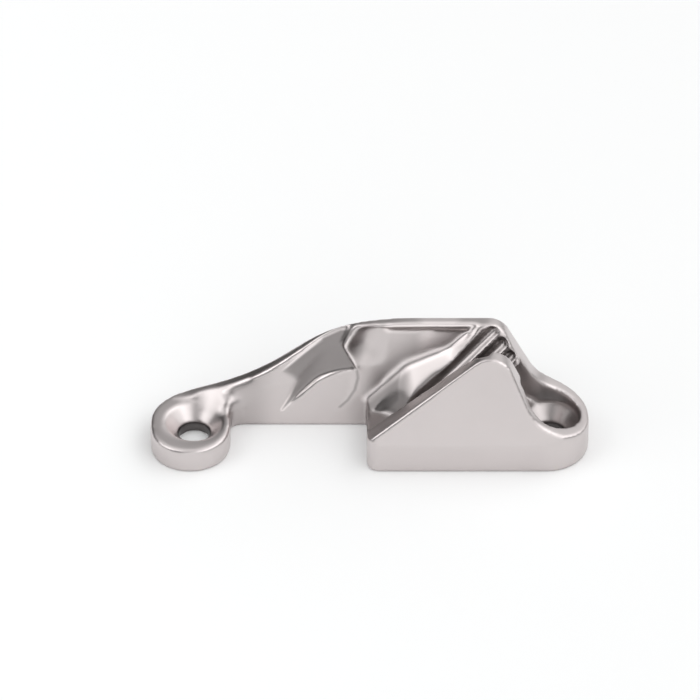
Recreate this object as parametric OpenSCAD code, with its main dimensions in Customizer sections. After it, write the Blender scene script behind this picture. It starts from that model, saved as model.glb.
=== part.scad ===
// Side-entry jam cleat, one casting, drawn with its front face on y = 0 and centred at the end.

/* [Overall] */
// Length from ear to ear
cleat_l = 82; // [76:1:92]
// Width from the front face to the flat back
cleat_w = 17.6; // [16.8:0.2:19]
// Height of the back wall
cleat_h = 23.2; // [22.4:0.2:25]

/* [Screw ears] */
// Distance of the left screw hole from the left end
left_hole_end = 8.1; // [7.8:0.1:8.6]
// Distance of the right screw hole from the right end
right_hole_end = 7.3; // [7.1:0.1:7.9]
// Distance of the holes from the front face
hole_inset = 8.8; // [8.4:0.1:9.2]
// Diameter of each screw hole
hole_d = 5.8; // [5:0.1:6.4]
// Diameter of the countersink at the ear's top
countersink_d = 11.2; // [9.6:0.2:11.8]
// Thickness of the ears
ear_t = 5; // [4.4:0.2:5.8]
// Width of the left ear
ear_w = 14.9; // [14:0.1:16]
// Corner radius at the front of the left ear
ear_front_r = 7.2; // [5:0.2:7.4]
// Corner radius of the other ear corners
ear_back_r = 8.4; // [6:0.2:8.6]
// Fillet between the left ear and the arm
ear_fillet_r = 2; // [1:0.2:4]
// Height of the raised lip behind the left screw
lip_h = 1.9; // [0.8:0.1:2.4]
// Width of the raised lip
lip_w = 1.1; // [0.6:0.1:1.6]

/* [Arm] */
// Thickness of the arm at its foot
arm_t = 4.2; // [3.6:0.1:5]
// Lean of the arm's front face
arm_lean = 5; // [2:0.5:7]
// Lean of the bevel under the arm's top edge
bevel_lean = 16; // [10:1:24]
// Turn of that bevel towards the ear
bevel_turn = -7; // [-12:1:0]
// Depth of the curved hollow in the arm
hollow_depth = 1.25; // [0.8:0.05:1.5]
// Extra lean of the leaf-shaped flat below the hollow
leaf_lean = 3; // [2:0.5:5]

/* [Body and jaws] */
// Left end of the body, measured from the middle
body_left = -0.55; // [-2:0.05:1]
// Corner radius at the body's lower left
body_corner_r = 2.2; // [1:0.2:3]
// Height where the front face starts to lean back
crease_h = 6; // [5:0.2:7]
// Lean of the front jaw's outer face
front_lean = 20; // [16:1:22]
// Height of the rope channel's floor at both mouths
mouth_h = 5; // [4.4:0.2:5.8]
// Height of the bottom of the V between the teeth
groove_h = 8; // [7:0.2:9]
// Lean of the front jaw's toothed face
inner_lean = 5; // [2:0.5:8]
// Turn of that face, which narrows the channel to the right
inner_turn = 7.3; // [5:0.1:9]
// Lean of the back jaw's toothed face
jaw_lean = 22.5; // [18:0.5:26]
// Slope of the ramps along the top of both jaws
ramp_slope = 36; // [34:0.5:38]

/* [Teeth] */
// Number of teeth on each jaw
tooth_count = 3; // [2:1:3]
// Distance from one tooth edge to the next
tooth_pitch = 2.85; // [2.4:0.05:3.1]
// Depth of the notch under each tooth edge on the back jaw
tooth_depth = 1.7; // [1:0.1:2]
// Depth of the notch under each tooth edge on the front jaw
front_tooth_depth = 1.1; // [0.6:0.1:1.3]
// Flat left on each tooth edge
tooth_land = 0.35; // [0.2:0.05:0.6]
// Angle of the teeth above the horizontal
tooth_angle = 45; // [40:1:50]

/* [Hidden] */
$fn = 96;
left_x = -cleat_l / 2;
right_x = cleat_l / 2;
far = 4 * cleat_l;
arm_y = cleat_w - arm_t;
arm_lean_k = tan(arm_lean);
bend_x = -22.1;
bend_h = 9.55;
bevel_point = [bend_x - 0.4, arm_y + 1.57, bend_h + 0.55];
ear_right_x = left_x + ear_w;
hole_x = [left_x + left_hole_end, right_x - right_hole_end];
sink_depth = (countersink_d - hole_d) / 2;
dish_r = countersink_d / 2;
rim_h = 6.3;
rim_rise = 0.33;
steep_back = 1.95;
steep_front = 2.25;

// Ramp of the front jaw, and where the two steep right-hand slopes start
ramp_start_h = crease_h + 0.85;
ramp_k = tan(ramp_slope);
back_drop_x = 24.6;
front_drop_x = 24.2;
front_top_h = ramp_start_h + ramp_k * (front_drop_x - body_left);
back_foot_x = (cleat_h + steep_back * back_drop_x - rim_h - rim_rise * right_x) / (steep_back - rim_rise);
front_foot_x = (front_top_h + steep_front * front_drop_x - rim_h - rim_rise * right_x)
    / (steep_front - rim_rise);

function rim_z(x) = rim_h + rim_rise * (right_x - x);
function unit(v) = v / norm(v);

// Points along the arc that rounds corner b between its neighbours a and c
function corner(a, b, c, r, n) =
    let (
        u = unit(a - b),
        v = unit(c - b),
        half = acos(u * v) / 2,
        mid = b + unit(u + v) * r / sin(half),
        p = b + u * r / tan(half),
        q = b + v * r / tan(half),
        a0 = atan2(p[1] - mid[1], p[0] - mid[0]),
        a1 = atan2(q[1] - mid[1], q[0] - mid[0]),
        turn = (a1 - a0 + 540) % 360 - 180
    )
    [for (i = [0:n]) mid + r * [cos(a0 + turn * i / n), sin(a0 + turn * i / n)]];

// An outline from corners given as [x, y, radius]
function rounded(pts, n = 8) =
    let (m = len(pts))
    [for (i = [0:m - 1])
        let (
            a = [pts[(i + m - 1) % m][0], pts[(i + m - 1) % m][1]],
            b = [pts[i][0], pts[i][1]],
            c = [pts[(i + 1) % m][0], pts[(i + 1) % m][1]]
        )
        each (pts[i][2] > 0 ? corner(a, b, c, pts[i][2], n) : [b])];

// Points on the faces of the jaws
back_wall_t = 2.7;
jaw_y = cleat_w - back_wall_t;
jaw_top_h = cleat_h - 0.1;
inner_point = [21.3, 8.3, 21.5];
jaw_point = [0, jaw_y, jaw_top_h];
tooth_point = [22.2, jaw_y, jaw_top_h];
tooth_stagger = 0.5;
front_tooth_shift = -0.5 * tooth_pitch;
notch_skew = 0.42;
notch_end_flare = 0.9;
notch_over = 1;
back_reach = 3;
front_reach = 0.5;
jaw_root_y = arm_y - 6;
scoop_x = body_left + 0.75;
scoop_y = 5;
scoop_r = 6.5;
scoop_flare = 0.45;
relief_x = 28;
ear_split_y = hole_inset + 1;
rim_x = right_x - 2.6;
exit_x = 19.8;
exit_y0 = 6.4;
exit_y1 = cleat_w - 3.4;
trough_x = [26.5, 31.5];
trough_drop = 0.9;
sink_over = 2.5;

// Lead-in strip: a point, the lean and the turn of each of its planes
strip_low = [[11.3, jaw_y - 0.1, 16.1], 45.8, -26];
strip_left = [[6.8, jaw_y - 0.3, 13.8], 36.4, -42.5];
strip_high = [[16.86, jaw_y + 0.2, 19.6], 37.4, -48.4];

// Pocket and hollow in the wall
pocket_point = [0, arm_y + 0.4, 6];
pocket_lean = 8.5;
pocket_turn = -1.5;
pocket_r = 5.5;
pocket_depth = 1.45;
pocket_end_x = -0.7;
pocket_end_h = 17.3;
pocket_slant = 15;
pocket_fade = 17;
pocket_fade_h = 8;
leaf_foot = 1.9;
hollow_r = 8;
hollow_x = -8;
hollow_h = 15;
hollow_slant = 19.2;
hollow_lean = 3.8;
hollow_floor_turn = 4;
hollow_floor_gap = 0.05;
wing_r = 6;
wing_x = -12.7;
wing_h = 14;
wing_depth = 0.55;
wing_slant = 45;
wing_lean = 10;
pocket_outline = rounded([
    [1, 21.9, 0],
    [19.6, 21.9, 0.6],
    [14.4, 17.3, 1],
    [6.8, 13.8, 1],
    [-0.9, 6.1, 0],
    [-4.4, 6.1, 0],
    [-2.3, 13.4, 0]
]);
pocket_end_outline = rounded([
    [-2, 10, 0],
    [8, 10, 0],
    [8, 21.9, 0],
    [-4.6, 21.9, 4],
    [-4.7, 17, 1]
]);
leaf_top = [
    [-16.9, 2.9, 0],
    [-9.6, 10.15, 6],
    [-6, 11.8, 10],
    [-2.5, 12.6, 0]
];
hollow_outline = rounded(concat(leaf_top, [
    [-3.9, 15.4, 1.5],
    [-5.2, 18, 2],
    [-3, 22.2, 3],
    [1.5, 26, 0],
    [-20, 26, 0]
]));
leaf_outline = rounded(concat(leaf_top, [
    [-3.6, 6.5, 6],
    [-8.5, 0.4, 3],
    [-14.5, 0.4, 3]
]));

// The end corners stay round for any width
back_r = min(ear_back_r, (cleat_w - 0.6) / 2);
plan_outline = rounded([
    [left_x, cleat_w, back_r],
    [left_x, 0, ear_front_r],
    [ear_right_x, 0, ear_front_r],
    [ear_right_x, arm_y, ear_fillet_r],
    [body_left, arm_y, 0],
    [body_left, 0, body_corner_r],
    [right_x, 0, back_r - 0.4],
    [right_x, cleat_w, back_r]
]);

back_profile = rounded([
    [left_x, 0, 0],
    [right_x, 0, 0],
    [right_x, rim_h, 0],
    [rim_x, rim_z(rim_x), 0],
    [back_foot_x, rim_z(back_foot_x), 9],
    [back_drop_x, cleat_h, 4.3],
    [5.8, cleat_h, 50],
    [-6.5, cleat_h - 1.5, 26],
    [bend_x, bend_h, 45],
    [left_x + 6, ear_t + 0.2, 12],
    [left_x, ear_t, 0]
]);

front_profile = rounded([
    [body_left, 0, 0],
    [right_x, 0, 0],
    [right_x, rim_h, 0],
    [rim_x, rim_z(rim_x), 0],
    [front_foot_x, rim_z(front_foot_x), 9],
    [front_drop_x, front_top_h, 4.8],
    [body_left, ramp_start_h, 0]
]);

floor_profile = rounded([
    [body_left, 0, 0],
    [right_x, 0, 0],
    [right_x, mouth_h, 0],
    [trough_x[1], mouth_h, 0],
    [trough_x[0], groove_h, 0],
    [9, groove_h, 3],
    [5.5, mouth_h, 3],
    [body_left, mouth_h, 1.1]
]);

// Extrudes an XZ outline from y0 to y1
module across(y0, y1) {
    translate([0, y1, 0]) rotate([90, 0, 0]) linear_extrude(y1 - y0) children();
}

// Everything behind a plane through point p that leans back by lean and turns by turn
module behind(p, lean, turn = 0) {
    translate(p) rotate([-lean, 0, turn]) translate([-far / 2, 0, -far / 2]) cube(far);
}

module plan() {
    linear_extrude(cleat_h) polygon(plan_outline);
}

module left_ear() {
    linear_extrude(ear_t) intersection() {
        polygon(plan_outline);
        translate([left_x, 0]) square([ear_w + ear_fillet_r, cleat_w]);
    }
}

// Raised lip behind the left screw, running into the fillet
module ear_lip() {
    top = ear_t + lip_h;
    lip_x = hole_x[0] + 0.6;
    end_x = ear_right_x + ear_fillet_r;
    across(arm_y - lip_w, arm_y + lip_w) polygon(rounded([
        [lip_x, 0, 0],
        [lip_x, top - 0.5, 1],
        [ear_right_x - 0.6, top, 1.6],
        [end_x, ear_t + 0.4, 0],
        [end_x, 0, 0]
    ]));
}

module arm() {
    intersection() {
        across(0, cleat_w) polygon(back_profile);
        behind([0, arm_y, 0], arm_lean);
        behind(bevel_point, bevel_lean, bevel_turn);
    }
}

// The channel side of the front jaw's toothed face
module inner_space() {
    behind(inner_point, inner_lean, inner_turn);
}

module body_room() {
    translate([body_left, 0, mouth_h]) cube([relief_x + 0.5 - body_left, cleat_w, cleat_h]);
}

module body_floor() {
    intersection() {
        across(0, cleat_w) polygon(floor_profile);
        behind([0, 0, crease_h], front_lean);
    }
}

// Front jaw and, right of it, the front half of the right ear
module front_jaw() {
    difference() {
        intersection() {
            across(0, ear_split_y) polygon(front_profile);
            behind([0, 0, crease_h], front_lean);
        }
        intersection() {
            inner_space();
            body_room();
        }
    }
}

// Planes of the lead-in strip: rounded shoulder below, narrow strip beside the first tooth above
module lead_in() {
    intersection() {
        behind(strip_low[0], strip_low[1], strip_low[2]);
        behind(strip_left[0], strip_left[1], strip_left[2]);
    }
    behind(strip_high[0], strip_high[1], strip_high[2]);
}

// The back jaw: lead-in strip above and the toothed face below
module back_jaw() {
    difference() {
        intersection() {
            across(jaw_root_y, cleat_w) polygon(back_profile);
            behind(jaw_point, jaw_lean);
            lead_in();
            body_room();
        }
        translate([scoop_x, scoop_y, mouth_h])
            cylinder(h = cleat_h, r1 = scoop_r, r2 = scoop_r + cleat_h * scoop_flare);
    }
}

// Lays children in the plane of a toothed face: local x runs up along a tooth, local y down across them
module on_face(p, lean, turn, side) {
    translate(p) rotate([0, 0, turn]) rotate([90 - lean, 0, 0]) rotate([0, 0, tooth_angle])
        mirror([0, 1, 0]) mirror([0, 0, side]) children();
}

// One notch below a tooth edge: steep under the edge, round at its bottom and its upper end
module notch(depth, reach) {
    w = tooth_pitch - tooth_land;
    cut_h = 2 * depth + reach + notch_over;
    intersection() {
        rotate([90, 0, 90]) translate([0, 0, -cleat_l / 2]) linear_extrude(cleat_l) polygon(rounded([
            [0, reach, 0],
            [0, 0, 0],
            [notch_skew * w, -1.3 * depth, 0.6 * depth],
            [w, 0, 0],
            [w, reach, 0]
        ]));
        translate([0, 0, -2 * depth]) union() {
            translate([-cleat_l / 2, -notch_over, 0]) cube([cleat_l / 2, w + 2 * notch_over, cut_h]);
            translate([0, w / 2, 0])
                cylinder(h = cut_h, r1 = w / 2 - notch_end_flare, r2 = w / 2 + notch_end_flare);
        }
    }
}

module back_notches() {
    intersection() {
        on_face(tooth_point, jaw_lean, 0, 0)
            for (i = [0:tooth_count - 1])
                translate([-tooth_stagger * (i + 1), i * tooth_pitch, 0]) notch(tooth_depth, back_reach);
        translate([body_left, jaw_root_y, groove_h]) cube([cleat_l, cleat_w, cleat_h]);
    }
}

module front_notches() {
    intersection() {
        on_face(inner_point, inner_lean, inner_turn, 1)
            for (i = [0:tooth_count - 1])
                translate([0, front_tooth_shift + i * tooth_pitch, 0]) notch(front_tooth_depth, front_reach);
        translate([body_left, 0, groove_h]) cube([cleat_l, cleat_w, cleat_h]);
    }
}

// Back half of the right ear, up to the rim
module right_ear() {
    across(ear_split_y, cleat_w) intersection() {
        polygon(back_profile);
        translate([relief_x, 0]) square([right_x - relief_x, cleat_h]);
    }
}

// Way out below the last tooth and round the right screw
module right_dish() {
    translate([hole_x[1], hole_inset, mouth_h]) cylinder(h = cleat_h, r = dish_r);
    across(hole_inset, exit_y1) polygon([
        [exit_x, groove_h],
        [trough_x[0], groove_h],
        [trough_x[1], mouth_h],
        [hole_x[1], mouth_h],
        [hole_x[1], groove_h + hole_x[1] - exit_x]
    ]);
    across(exit_y0, ear_split_y) polygon([
        [relief_x, groove_h - trough_drop],
        [trough_x[1], mouth_h],
        [hole_x[1], mouth_h],
        [hole_x[1], cleat_h],
        [relief_x, cleat_h]
    ]);
}

// Screw hole with its countersink, which goes on up by over through the ear's raised rim
module screw_hole(x, over) {
    translate([x, hole_inset, -1]) cylinder(h = ear_t + 2, d = hole_d);
    translate([x, hole_inset, ear_t - sink_depth])
        cylinder(h = sink_depth + over, d1 = hole_d, d2 = countersink_d + 2 * over);
}

// Pocket in the wall above the back jaw, with a deeper round left end
module pocket() {
    difference() {
        across(arm_y - 2, cleat_w) polygon(pocket_outline);
        behind(pocket_point, pocket_lean, pocket_turn);
    }
    intersection() {
        across(arm_y - 2, cleat_w) polygon(pocket_end_outline);
        translate([pocket_end_x, arm_y + arm_lean_k * pocket_end_h + pocket_depth - pocket_r, pocket_end_h])
            rotate([-arm_lean, pocket_slant, 0]) {
                cylinder(h = cleat_h, r = pocket_r);
                translate([0, 0, -pocket_fade_h])
                    cylinder(h = pocket_fade_h, r1 = pocket_r - pocket_fade_h * tan(pocket_fade), r2 = pocket_r);
            }
    }
}

// Round hollow in the arm, with a side wing that ends under the arm's bevel
module hollow() {
    intersection() {
        across(arm_y - 2, cleat_w + 2) polygon(hollow_outline);
        union() {
            translate([hollow_x, arm_y + arm_lean_k * hollow_h + hollow_depth - hollow_r, hollow_h])
                rotate([-hollow_lean, hollow_slant, 0]) translate([0, 0, -cleat_h]) {
                    cylinder(h = 2 * cleat_h, r = hollow_r);
                    rotate([0, 0, -hollow_floor_turn])
                        cube([hollow_r, hollow_r - hollow_floor_gap, 2 * cleat_h]);
                }
            translate([wing_x, arm_y + arm_lean_k * wing_h + wing_depth - wing_r, wing_h])
                rotate([-wing_lean, wing_slant, 0]) translate([0, 0, -cleat_h])
                    cylinder(h = 2 * cleat_h, r = wing_r);
        }
    }
}

module leaf() {
    difference() {
        across(arm_y - 2, cleat_w) polygon(leaf_outline);
        behind([0, arm_y + leaf_foot * arm_lean_k, leaf_foot], arm_lean + leaf_lean);
    }
}

module cleat_solid() {
    difference() {
        intersection() {
            union() {
                left_ear();
                ear_lip();
                difference() {
                    union() {
                        arm();
                        back_jaw();
                    }
                    pocket();
                    hollow();
                    leaf();
                }
                body_floor();
                front_jaw();
                right_ear();
            }
            plan();
        }
        back_notches();
        front_notches();
        right_dish();
        screw_hole(hole_x[0], sink_over);
        screw_hole(hole_x[1], 0);
    }
}

module cleat() {
    color("silver") translate([0, -cleat_w / 2, 0]) cleat_solid();
}

cleat();
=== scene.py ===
"""Looks of a one-piece side-entry jam cleat: a satin anodised casting on a pale studio floor."""

import math

import bmesh
import bpy
import numpy as np
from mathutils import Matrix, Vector
from mathutils.bvhtree import BVHTree


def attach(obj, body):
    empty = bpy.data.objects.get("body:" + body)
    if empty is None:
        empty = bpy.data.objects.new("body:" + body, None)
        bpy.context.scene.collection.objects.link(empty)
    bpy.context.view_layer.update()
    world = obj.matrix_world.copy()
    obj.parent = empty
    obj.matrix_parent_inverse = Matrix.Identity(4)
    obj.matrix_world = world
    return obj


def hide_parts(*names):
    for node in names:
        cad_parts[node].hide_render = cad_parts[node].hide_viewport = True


bl_info = {
    "name": "Jam Cleat",
    "version": (1, 0, 0),
    "blender": (4, 5, 0),
    "location": "View3D > Sidebar > Jam Cleat",
    "description": "Builds a soft-edged anodised jam cleat around its CAD frame, with a studio stage",
    "category": "Object",
}

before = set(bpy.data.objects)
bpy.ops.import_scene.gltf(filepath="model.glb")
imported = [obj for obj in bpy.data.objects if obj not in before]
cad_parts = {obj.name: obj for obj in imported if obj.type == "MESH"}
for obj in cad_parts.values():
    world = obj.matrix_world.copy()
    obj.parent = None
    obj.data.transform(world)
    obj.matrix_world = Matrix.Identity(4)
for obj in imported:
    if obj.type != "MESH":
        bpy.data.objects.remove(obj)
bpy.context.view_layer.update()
MM = 0.001
NODE = "cleat"

# Sizes of the casting that its colours follow, in mm
CLEAT_W = 17.6
HOLES_X = (-32.9, 33.7)
BORE_R = 2.9
ARM_BACK = 0.3
ARM_FRONT_Y = 4

# Boxes, each with its low corner, high corner and fade in mm, and the share inside it
TEETH = ((13, -6, 11), (29.5, 3.4, 24.5), 1.5, 0.7)
SOFTER = (
    ((-31, 2.4, 5.2), (-22, 5.6, 9), 1.5, 1.0),  # the left ear's lip
    ((-42, -9, 4), (-25.5, -2, 6), 1.0, 0.2),  # the left ear's front edge
    ((-3.5, 4.8, 15.5), (2, 7.2, 21), 1.5, 0.3),  # the pocket's rounded end
    ((0, 6, 14.5), (2.2, 7.6, 18), 1.0, 1.0),  # where that end runs out
    ((4, -1, 6), (12, 5.5, 16), 2.0, 0.4),  # the ramp into the jaws
)
# Painted shade: boxes where the metal's colour is made darker, in the mouth, behind it and at the
# arm's root
PAINTED_SHADE_BOXES = (
    ((0.2, -4, 3), (6, 3.8, 11.5), 2.2, 0.45),  # the mouth
    ((0.4, 2.6, 4), (5, 4.4, 11.5), 1.4, 0.66),  # the wall behind the mouth
    ((-26, 4.2, 0), (-22, 6, 9), 5, 0.22),  # the arm's root at the left ear
)
# Painted highlight: in this box, at the pocket's narrow end, the metal's colour is made lighter
PAINTED_HIGHLIGHT_BOXES = (((11, 6, 18.5), (15, 7.5, 22.5), 3.0, 1.0),)  # the pocket's narrow end

# Lines on the front of the arm, in mm: x, and z + SLOPE * depth.
# They outline painted shade (the arm's hollow, the leaf's end, the pocket's end) and painted
# highlights (the edges round the hollow and the pocket, and along the top).
SLOPE = 0.839
HOLLOW = (
    (-8.7, 32.7),
    (-16.3, 24.5),
    (-13.7, 22.2),
    (-14.9, 18.3),
    (-16.4, 15.2),
    (-14.2, 18.0),
    (-10.3, 22.4),
    (-7.4, 24.2),
    (-4.6, 25.0),
    (-2.4, 25.2),
    (-4.8, 30.7),
    (-3.5, 34.8),
    (-5.5, 34.6),
)
POCKET_EDGE = ((-0.4, 18.0), (6.6, 25.9), (15.0, 30.6), (19.0, 34.6), (18.8, 35.2), (3.8, 35.1))
TOP_EDGE = ((-27.1, 19.5), (-21.5, 23.15), (-12.5, 29.5), (-9.3, 32.1))
LEAF_END = ((-2.4, 25.0), (-2.2, 22.9), (-2.8, 20.0), (-4.1, 17.5), (-5.6, 15.8))
POCKET_END = (-2.9, 30.2)
WING = (-15.6, 22.6)
WING_RIM = (-15.6, 22.0)

# Soft windows of the room: azimuth from the front towards the right, elevation, strength.
# A scratch program fitted the strengths to the brightness of spots in the photo.
WINDOWS = (
    (0, 8, 1.12),
    (144, 8, 0.24),
    (180, 8, 0.5),
    (-108, 8, 0.14),
    (36, 34, 1.16),
    (72, 34, 0.57),
    (108, 34, 0.97),
    (144, 34, 0.58),
    (0, 60, 0.22),
    (60, 60, 0.92),
    (120, 60, 0.72),
    (180, 60, 0.37),
    (-120, 60, 0.75),
    (-60, 60, 0.88),
)
# Cosines of the angles from a window's middle at which it starts and is full
WINDOW_EDGE = 0.829
WINDOW_FULL = 0.9945

# The picture's size, and the column and row that the origin falls on, in pixels
PICTURE = 700
ORIGIN_U = 369.65
ORIGIN_V = 441.35


class CastingSettings(bpy.types.PropertyGroup):
    """Sizes and colours of the casting"""

    voxel: bpy.props.FloatProperty(
        name="Surface Step",
        description="Edge length of the even mesh that the soft edges are worked on",
        default=0.27 * MM,
        min=0.12 * MM,
        max=0.6 * MM,
        unit="LENGTH",
    )
    edge_passes: bpy.props.IntProperty(
        name="Edge Softening",
        description="How many smoothing passes round the cast edges",
        default=14,
        min=0,
        max=60,
    )
    blend_passes: bpy.props.IntProperty(
        name="Local Softening",
        description="How many more passes round the left ear, the pocket's end and the ramp",
        default=120,
        min=0,
        max=300,
    )
    metal_colour: bpy.props.FloatVectorProperty(
        name="Metal",
        description="Colour of the anodised metal",
        subtype="COLOR",
        size=3,
        default=(0.63, 0.585, 0.58),
        min=0,
        max=1,
    )
    roughness: bpy.props.FloatProperty(
        name="Roughness",
        description="How satin the anodised skin is",
        default=0.32,
        min=0.05,
        max=1,
        subtype="FACTOR",
    )


class StageSettings(bpy.types.PropertyGroup):
    """Camera, floor and lamp"""

    elevation: bpy.props.FloatProperty(
        name="Camera Height",
        description="Angle of the camera above the horizon",
        default=math.radians(40),
        min=0,
        max=math.radians(89),
        subtype="ANGLE",
    )
    frame_width: bpy.props.FloatProperty(
        name="Frame Width",
        description="Width that the picture covers at the part",
        default=PICTURE / 5.328 * MM,
        min=0.05,
        max=1,
        unit="LENGTH",
    )
    lamp_power: bpy.props.FloatProperty(
        name="Lamp",
        description="Power of the soft lamp on the left",
        default=2.3,
        min=0,
        max=50,
        unit="POWER",
    )
    distance: bpy.props.FloatProperty(
        name="Camera Distance",
        description="Distance of the camera from the part",
        default=1.2,
        min=0.2,
        max=5,
        unit="LENGTH",
    )
    floor_colour: bpy.props.FloatVectorProperty(
        name="Floor",
        description="Colour of the floor",
        subtype="COLOR",
        size=3,
        default=(0.96, 0.965, 0.965),
        min=0,
        max=1,
    )


class Sock:
    """A node's output that can be used in Python sums"""

    def __init__(self, net, out):
        self.net = net
        self.out = out

    def _math(self, operation, *values):
        return self.net.add("ShaderNodeMath", {"operation": operation}, list(values))

    def __add__(self, other):
        return self._math("ADD", self, other)

    def __sub__(self, other):
        return self._math("SUBTRACT", self, other)

    def __mul__(self, other):
        return self._math("MULTIPLY", self, other)

    def __radd__(self, other):
        return self._math("ADD", other, self)

    def __rsub__(self, other):
        return self._math("SUBTRACT", other, self)

    def __rmul__(self, other):
        return self._math("MULTIPLY", other, self)

    def ramp(self, low, high):
        """0 below low, 1 above high, smooth between"""
        return self.net.add(
            "ShaderNodeMapRange",
            {"interpolation_type": "SMOOTHSTEP"},
            {"Value": self, "From Min": low, "From Max": high},
        )


class Net:
    """Builds the nodes of one material or of the world, around one shader"""

    def __init__(self, owner, shader="ShaderNodeBsdfPrincipled", output="ShaderNodeOutputMaterial"):
        owner.use_nodes = True
        self.owner = owner
        self.tree = owner.node_tree
        self.tree.nodes.clear()
        self.shader = self.tree.nodes.new(shader)
        end = self.tree.nodes.new(output)
        self.tree.links.new(self.shader.outputs[0], end.inputs["Surface"])

    def add(self, kind, settings=None, inputs=None, out=0):
        """Adds a node: settings first, then the values or links of its sockets"""
        node = self.tree.nodes.new(kind)
        for key, value in (settings or {}).items():
            setattr(node, key, value)
        pairs = inputs.items() if isinstance(inputs, dict) else enumerate(inputs or [])
        for key, value in pairs:
            self.put(node.inputs[key], value)
        return Sock(self, node.outputs[out])

    def put(self, socket, value):
        """Links a node's output to a socket, or sets the socket's value"""
        if isinstance(value, Sock):
            self.tree.links.new(value.out, socket)
        else:
            socket.default_value = value

    def noise(self, scale, detail, rough):
        """Noise on Object coordinates, scale in bumps a metre"""
        return self.add(
            "ShaderNodeTexNoise",
            {},
            {
                "Vector": self.add("ShaderNodeTexCoord", out="Object"),
                "Scale": scale,
                "Detail": detail,
                "Roughness": rough,
            },
        )

    def painted(self, name):
        """A number stored at each vertex"""
        return self.add("ShaderNodeAttribute", {"attribute_name": name}, {}, "Fac")

    def mix(self, factor, a, b):
        """Mixes two colours, whose sockets of a Mix node are 6 and 7, with the result at 2"""
        return self.add("ShaderNodeMix", {"data_type": "RGBA"}, {"Factor": factor, 6: a, 7: b}, 2)

    def set(self, **values):
        """Sets or links the shader's own sockets, with _ for a space in their names"""
        for key, value in values.items():
            self.put(self.shader.inputs[key.replace("_", " ")], value)


def rgba(colour, k=1.0):
    """A colour times k, with full alpha"""
    return (colour[0] * k, colour[1] * k, colour[2] * k, 1.0)


def anodised_metal(settings):
    """Satin anodised cast aluminium: fine grain, faint clouds, painted shade in recesses, painted
    highlights on raised edges
    """
    net = Net(bpy.data.materials.new("satin_anodised_aluminium"))
    metal = settings.metal_colour
    cloud = net.noise(60, 4, 0.55).ramp(0.3, 0.7)
    grain = net.noise(5200, 2, 0.6)
    base = net.mix(cloud, rgba(metal, 0.975), rgba(metal, 1.015))
    # Painted highlight: the colour is made up to half again as light on the edges round the hollow,
    # the pocket and the top
    base = net.mix(net.painted("painted_highlight") * 0.85, base, rgba(metal, 1.5))
    # Painted shade: the colour falls towards a fifth in the bores, the arm's hollow, the leaf's end,
    # the pocket's end and the mouth
    base = net.mix(net.painted("painted_shade"), base, rgba(metal, 0.2))
    # Painted shade: the colour darkens where the part hides much of a vertex's view
    base = net.mix(net.painted("occlusion_shade").ramp(0.1, 0.9) * 0.6, base, rgba(metal, 0.3))
    net.set(
        Base_Color=base,
        Metallic=1.0,
        Roughness=settings.roughness - 0.02 + cloud * 0.04 + (grain - 0.5) * 0.06,
        Normal=net.add(
            "ShaderNodeBump",
            {},
            {"Strength": 0.12, "Distance": 0.02 * MM, "Height": grain},
            "Normal",
        ),
    )
    return net.owner


def floor_paint(colour):
    """Plain matte pale paper"""
    net = Net(bpy.data.materials.new("pale_floor"))
    net.set(Base_Color=rgba(colour), Roughness=0.9, Specular_IOR_Level=0.1)
    return net.owner


def copy_of_node(name):
    """A CAD node's mesh in a new object, with its corners merged"""
    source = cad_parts[name]
    mesh = source.data.copy()
    mesh.transform(source.matrix_world)
    mesh.materials.clear()
    work = bmesh.new()
    work.from_mesh(mesh)
    bmesh.ops.remove_doubles(work, verts=work.verts, dist=0.002 * MM)
    work.to_mesh(mesh)
    work.free()
    made = bpy.data.objects.new("casting", mesh)
    bpy.context.scene.collection.objects.link(made)
    return made


def baked(obj):
    """Applies an object's modifiers to its mesh"""
    graph = bpy.context.evaluated_depsgraph_get()
    mesh = bpy.data.meshes.new_from_object(obj.evaluated_get(graph))
    obj.modifiers.clear()
    obj.data = mesh


def edges_of(mesh):
    """The mesh's edges as an array of vertex pairs"""
    pairs = np.empty(len(mesh.edges) * 2, dtype=np.int64)
    mesh.edges.foreach_get("vertices", pairs)
    return pairs.reshape(-1, 2)


def neighbour_mean(values, pairs, count):
    """Mean of the neighbours' values at each vertex"""
    total = np.zeros_like(values)
    degree = np.bincount(pairs.ravel(), minlength=count).astype(float)
    for axis in range(values.shape[1]):
        total[:, axis] = np.bincount(pairs[:, 0], values[pairs[:, 1], axis], count)
        total[:, axis] += np.bincount(pairs[:, 1], values[pairs[:, 0], axis], count)
    return total / degree[:, None]


def vertices_of(mesh):
    """The mesh's vertices as an array"""
    points = np.empty(len(mesh.vertices) * 3)
    mesh.vertices.foreach_get("co", points)
    return points.reshape(-1, 3)


def normals_of(mesh):
    """The mesh's vertex normals as an array"""
    normals = np.empty(len(mesh.vertices) * 3)
    mesh.vertices.foreach_get("normal", normals)
    return normals.reshape(-1, 3)


def ease(values, low, high):
    """0 below low, 1 above high, smooth between"""
    t = np.clip((values - low) / (high - low), 0, 1)
    return t * t * (3 - 2 * t)


def soften(mesh, passes, where):
    """Rounds the edges of an even mesh with little shrinking; where is each vertex's share"""
    points = vertices_of(mesh)
    pairs = edges_of(mesh)
    for step in range(passes):
        for share in (0.62, -0.3):
            move = share * (neighbour_mean(points, pairs, len(points)) - points)
            points = points + move * where[:, None]
    mesh.vertices.foreach_set("co", points.ravel())
    mesh.update()


def near(points, low, high, fade, share):
    """The share inside a box given in mm, falling to 0 over fade outside it"""
    out = np.maximum(np.array(low) * MM - points, points - np.array(high) * MM).max(axis=1)
    return (1 - ease(out, 0, fade * MM)) * share


def paint(mesh, name, values):
    """Stores a number at each vertex"""
    layer = mesh.attributes.new(name, "FLOAT", "POINT")
    layer.data.foreach_set("value", values.astype(np.float32))


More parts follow.
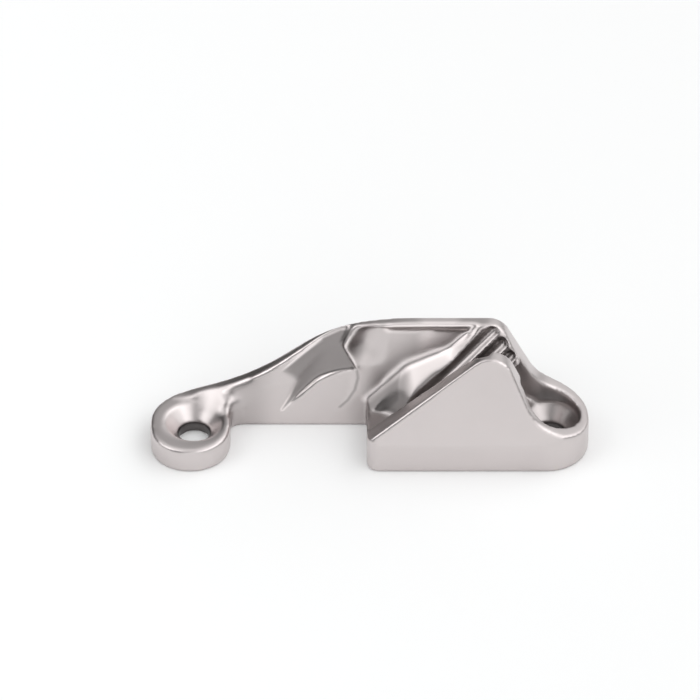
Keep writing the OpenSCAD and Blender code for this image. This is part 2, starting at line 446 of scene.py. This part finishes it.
def even_directions(count):
    """Directions over a half sphere round +Z, denser towards the middle"""
    found = []
    for i in range(count):
        flat = math.sqrt((i + 0.5) / count)
        turn = i * math.pi * (3 - math.sqrt(5))
        found.append((flat * math.cos(turn), flat * math.sin(turn), math.sqrt(1 - flat * flat)))
    return found


def occlusion_shade(mesh, reach, count=18, passes=10):
    """How much of its view each vertex loses to the part itself: 0 open, 1 enclosed"""
    points = vertices_of(mesh)
    normals = normals_of(mesh)
    tree = BVHTree.FromPolygons(
        [tuple(p) for p in points], [tuple(f.vertices) for f in mesh.polygons]
    )
    lost = np.zeros(len(points))
    rays = even_directions(count)
    for i in range(len(points)):
        normal = Vector(normals[i])
        side = normal.orthogonal().normalized()
        rise = normal.cross(side)
        start = Vector(points[i]) + normal * (0.05 * MM)
        hits = 0
        for a, b, c in rays:
            if tree.ray_cast(start, side * a + rise * b + normal * c, reach)[0] is not None:
                hits += 1
        lost[i] = hits / count
    pairs = edges_of(mesh)
    for step in range(passes):
        lost = neighbour_mean(lost[:, None], pairs, len(points))[:, 0]
    return lost


def laid_flat(points):
    """The points on the plane that the arm's lines are drawn on, in mm"""
    x, y, z = (points / MM).T
    return np.stack([x, z + SLOPE * (y + CLEAT_W / 2)], axis=1)


def on_arm(points):
    """True on the front of the arm and of the wall behind the jaws"""
    y = points[:, 1] / MM
    return (y > ARM_FRONT_Y) & (y < CLEAT_W / 2 - ARM_BACK)


def away_from(flat, line):
    """Distance of flat points from a line of joined points"""
    found = np.full(len(flat), np.inf)
    for a, b in zip(np.array(line[:-1]), np.array(line[1:])):
        along = np.clip((flat - a) @ (b - a) / ((b - a) @ (b - a)), 0, 1)
        found = np.minimum(found, np.linalg.norm(flat - a - along[:, None] * (b - a), axis=1))
    return found


def within(flat, outline):
    """Signed distance of flat points from a closed outline, below 0 inside it"""
    inside = np.zeros(len(flat), dtype=bool)
    x, y = flat.T
    for (ax, ay), (bx, by) in zip(outline, outline[1:] + outline[:1]):
        if ay != by:
            inside ^= ((y < ay) != (y < by)) & (x < ax + (y - ay) * (bx - ax) / (by - ay))
    return away_from(flat, outline + outline[:1]) * np.where(inside, -1, 1)


def round_point(flat, middle, low, high):
    """1 round a flat point, fading to 0 between two distances in mm"""
    return 1 - ease(np.linalg.norm(flat - np.array(middle), axis=1), low, high)


def painted_shade_share(points):
    """How much painted shade each vertex gets: the screws' bores, the arm's hollow, the leaf's end,
    the pocket's end, the mouth and the other boxes
    """
    x, y, z = (points / MM).T
    bores = [1 - ease(np.hypot(x - hole, y), BORE_R, BORE_R + 0.3) for hole in HOLES_X]
    flat = laid_flat(points)
    beside = within(flat, HOLLOW)
    wing = round_point(flat, WING, 1.0, 3.2)
    hollow = (1 - ease(beside, -0.3, 0.15)) * (1 - wing) + (1 - ease(beside, -1.5, 0.6)) * wing
    line = 1 - ease(away_from(flat, LEAF_END), 0.05, 0.45)
    deep = round_point(flat, POCKET_END, 0.4, 3.4) * ease(beside, 0.4, 0.9)
    drawn = np.max([hollow * 0.66, line * 0.5, deep * 0.5], axis=0) * on_arm(points)
    return np.max([*bores, drawn, *(near(points, *box) for box in PAINTED_SHADE_BOXES)], axis=0)


def painted_highlight_share(points):
    """Painted highlight: 1 on the raised edges round the arm's hollow and the pocket and along the
    top, 0 elsewhere
    """
    flat = laid_flat(points)
    beside = within(flat, HOLLOW)
    rim = ease(beside, 0, 0.2) * (1 - ease(beside, 0.25, 0.55))
    rim *= (1 - round_point(flat, WING_RIM, 2.2, 4.5)) * (1 - ease(flat[:, 1], 32.5, 33.5))
    top = 1 - ease(away_from(flat, TOP_EDGE), 0.3, 0.8)
    ridge = 1 - ease(away_from(flat, POCKET_EDGE), 0.5, 1.7)
    boxes = [near(points, *box) for box in PAINTED_HIGHLIGHT_BOXES]
    return np.max([rim, top, ridge, *boxes], axis=0) * on_arm(points)


class CLEAT_OT_casting(bpy.types.Operator):
    """Builds the casting: the CAD solid with soft cast edges and an anodised skin"""

    bl_idname = "cleat.casting"
    bl_label = "Casting"

    def execute(self, context):
        settings = context.scene.cleat_casting
        casting = copy_of_node(NODE)
        remesh = casting.modifiers.new("even_skin", "REMESH")
        remesh.mode = "VOXEL"
        remesh.voxel_size = settings.voxel
        remesh.use_smooth_shade = True
        baked(casting)
        mesh = casting.data
        soften(mesh, settings.edge_passes, 1 - near(vertices_of(mesh), *TEETH))
        points = vertices_of(mesh)
        softer = np.max([near(points, *box) for box in SOFTER], axis=0)
        soften(mesh, settings.blend_passes, softer)
        points = vertices_of(mesh)
        # Painted shade in the bores, the hollow and the other places listed, stored at each vertex
        paint(mesh, "painted_shade", painted_shade_share(points))
        # Painted highlights along the arm's edges, stored at each vertex
        paint(mesh, "painted_highlight", painted_highlight_share(points))
        # Painted shade from how much of each vertex's view the part hides
        paint(mesh, "occlusion_shade", occlusion_shade(mesh, 14 * MM))
        mesh.materials.append(anodised_metal(settings))
        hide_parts(NODE)
        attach(casting, "root")
        return {"FINISHED"}


def studio_room():
    """The room round the part: soft windows on black walls"""
    net = Net(bpy.data.worlds.new("studio"), "ShaderNodeBackground", "ShaderNodeOutputWorld")
    place = net.add("ShaderNodeTexCoord", out="Generated")
    light = 0.0
    for azimuth, elevation, strength in WINDOWS:
        facing = net.add(
            "ShaderNodeVectorMath",
            {"operation": "DOT_PRODUCT"},
            [place, around(azimuth, elevation, 1)],
            "Value",
        )
        light = facing.ramp(WINDOW_EDGE, WINDOW_FULL) * strength + light
    net.set(Color=(1, 1, 1, 1), Strength=light)
    return net.owner


def soft_lamp(name, place, width, watts):
    """A square studio lamp that faces the part"""
    lamp = bpy.data.lights.new(name, "AREA")
    lamp.shape = "SQUARE"
    lamp.size = width
    lamp.energy = watts
    made = bpy.data.objects.new(name, lamp)
    bpy.context.scene.collection.objects.link(made)
    made.location = place
    made.rotation_euler = (-place).to_track_quat("-Z", "Y").to_euler()


def around(azimuth, elevation, distance):
    """A point round the part: azimuth 0 is the front, 90 the right"""
    a = math.radians(azimuth)
    e = math.radians(elevation)
    return Vector((math.sin(a) * math.cos(e), -math.cos(a) * math.cos(e), math.sin(e))) * distance


class CLEAT_OT_stage(bpy.types.Operator):
    """Sets up the floor, the lamp, the room and the camera"""

    bl_idname = "cleat.stage"
    bl_label = "Stage"

    def execute(self, context):
        settings = context.scene.cleat_stage
        scene = context.scene
        bpy.ops.mesh.primitive_plane_add(size=6)
        floor = context.object
        floor.name = "floor"
        floor.data.materials.append(floor_paint(settings.floor_colour))

        scene.world = studio_room()
        soft_lamp("lamp_left", around(-72, 34, 1.0), 0.75, settings.lamp_power)

        camera = bpy.data.cameras.new("camera")
        made = bpy.data.objects.new("camera", camera)
        scene.collection.objects.link(made)
        camera.sensor_width = 36
        camera.lens = 36 * settings.distance / settings.frame_width
        camera.clip_start = 0.01
        camera.clip_end = 20
        back = around(0, math.degrees(settings.elevation), 1)
        turn = (-back).to_track_quat("-Z", "Y")
        # The picture's middle lies a little left of and above the part's own middle
        pixel = settings.frame_width / PICTURE
        side = turn @ Vector((1, 0, 0)) * (PICTURE / 2 - ORIGIN_U) * pixel
        rise = turn @ Vector((0, 1, 0)) * (ORIGIN_V - PICTURE / 2) * pixel
        made.location = back * settings.distance + side + rise
        made.rotation_euler = turn.to_euler()
        scene.camera = made
        scene.view_settings.view_transform = "Standard"
        return {"FINISHED"}


class CLEAT_PT_panel(bpy.types.Panel):
    """Lists the steps that build the cleat"""

    bl_idname = "CLEAT_PT_panel"
    bl_label = "Jam Cleat"
    bl_space_type = "VIEW_3D"
    bl_region_type = "UI"
    bl_category = "Jam Cleat"

    def draw(self, context):
        layout = self.layout
        for group in (context.scene.cleat_casting, context.scene.cleat_stage):
            for key in group.__annotations__:
                layout.prop(group, key)
        for step in STEPS:
            layout.operator(step.bl_idname)


STEPS = (CLEAT_OT_casting, CLEAT_OT_stage)
CLASSES = (CastingSettings, StageSettings, *STEPS, CLEAT_PT_panel)


def register():
    for cls in CLASSES:
        bpy.utils.register_class(cls)
    bpy.types.Scene.cleat_casting = bpy.props.PointerProperty(type=CastingSettings)
    bpy.types.Scene.cleat_stage = bpy.props.PointerProperty(type=StageSettings)


def unregister():
    del bpy.types.Scene.cleat_stage
    del bpy.types.Scene.cleat_casting
    for cls in reversed(CLASSES):
        bpy.utils.unregister_class(cls)


def main():
    register()
    bpy.ops.cleat.casting()
    bpy.ops.cleat.stage()


if __name__ == "__main__":
    main()
